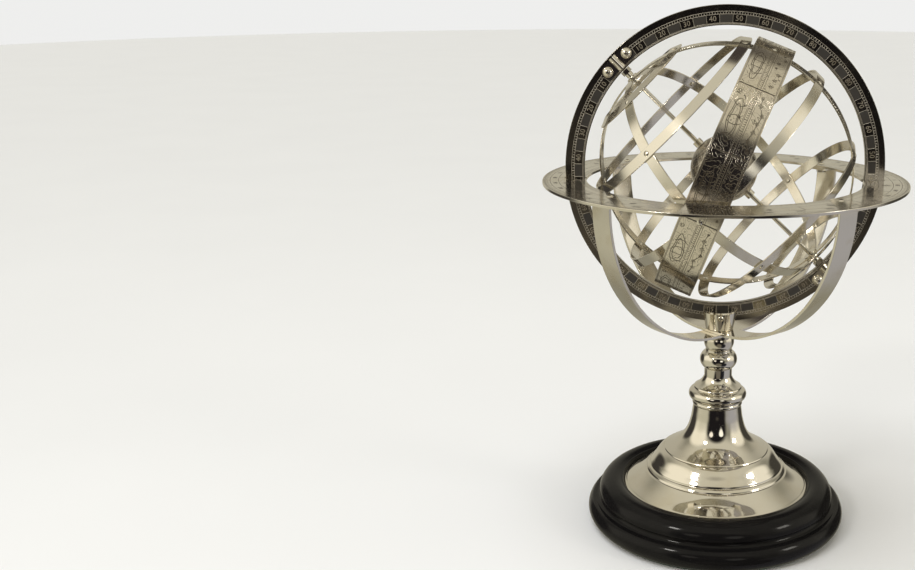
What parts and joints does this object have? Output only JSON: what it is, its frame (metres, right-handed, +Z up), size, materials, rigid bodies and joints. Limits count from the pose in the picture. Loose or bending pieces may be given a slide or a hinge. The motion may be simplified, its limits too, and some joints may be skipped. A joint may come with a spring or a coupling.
{
  "type": "armillary sphere",
  "caption": "Table armillary sphere: riveted cage with zodiac band turning on a polar rod in a graduated meridian ring, held in a horizon ring and cradle on a turned stem and round base.",
  "frame": {"origin": "middle of the felt pad's underside, where the base stands on a surface", "axes": "+Z up the stem; the meridian ring stands in the XZ plane with its front face towards -Y; the north pole leans to -X"},
  "size_m": [0.206, 0.206, 0.3052],
  "materials": {
    "polished_nickel": "polished nickel plate on brass, warm silver",
    "etched_meridian": "polished nickel plate with etched degree scale, dark filled",
    "etched_horizon": "polished nickel plate with fine etched scale",
    "engraved_zodiac": "polished nickel plate with engraved signs and lines",
    "engraved_globe": "polished nickel plate, engraved and darkened",
    "black_lacquer": "turned hardwood, gloss black lacquer",
    "felt": "dark green wool felt",
    "steel": "zinc-plated steel"
  },
  "bodies": {
    "stand": {"felt_pad": "felt", "wood_base": "black_lacquer", "base_washer": "steel", "base_nut": "steel", "central_rod": "steel", "foot_shell": "polished_nickel", "foot_ring": "polished_nickel", "collar_ring": "polished_nickel", "baluster": "polished_nickel", "neck_bead": "polished_nickel", "cradle_band_lower": "polished_nickel", "cradle_band_upper": "polished_nickel", "yoke_cup": "polished_nickel", "cup_set_screw": "polished_nickel", "horizon_ring": "etched_horizon", "horizon_screws": "polished_nickel", "horizon_nuts": "polished_nickel"},
    "meridian": {"meridian_ring": "etched_meridian", "north_pole_strap": "polished_nickel", "south_pole_strap": "polished_nickel", "north_strap_screws": "polished_nickel", "south_strap_screws": "polished_nickel", "polar_rod": "polished_nickel", "pole_nuts": "polished_nickel", "pole_spacers": "polished_nickel", "globe_collars": "polished_nickel"},
    "cage": {"equinoctial_colure": "polished_nickel", "solstitial_colure": "polished_nickel", "equator_ring": "polished_nickel", "arctic_circle": "polished_nickel", "north_tropic": "polished_nickel", "south_tropic": "polished_nickel", "antarctic_circle": "polished_nickel", "zodiac_band": "engraved_zodiac", "north_pole_hub": "polished_nickel", "south_pole_hub": "polished_nickel", "cage_rivets": "polished_nickel", "zodiac_spacers": "polished_nickel"},
    "earth": {"earth_globe": "engraved_globe", "globe_bushes": "polished_nickel"}
  },
  "joints": [
    {"name": "meridian_tilt", "type": "hinge", "parent": "stand", "child": "meridian", "pos_m": [0, 0, 0.21515], "axis": [0, 1, 0], "range_deg": [-26, 24]},
    {"name": "sphere_spin", "type": "hinge", "parent": "meridian", "child": "cage", "pos_m": [0, 0, 0.21515], "axis": [-0.7193, 0, 0.6947], "continuous": true},
    {"name": "globe_spin", "type": "hinge", "parent": "meridian", "child": "earth", "pos_m": [0, 0, 0.21515], "axis": [-0.7193, 0, 0.6947], "continuous": true}
  ]
}
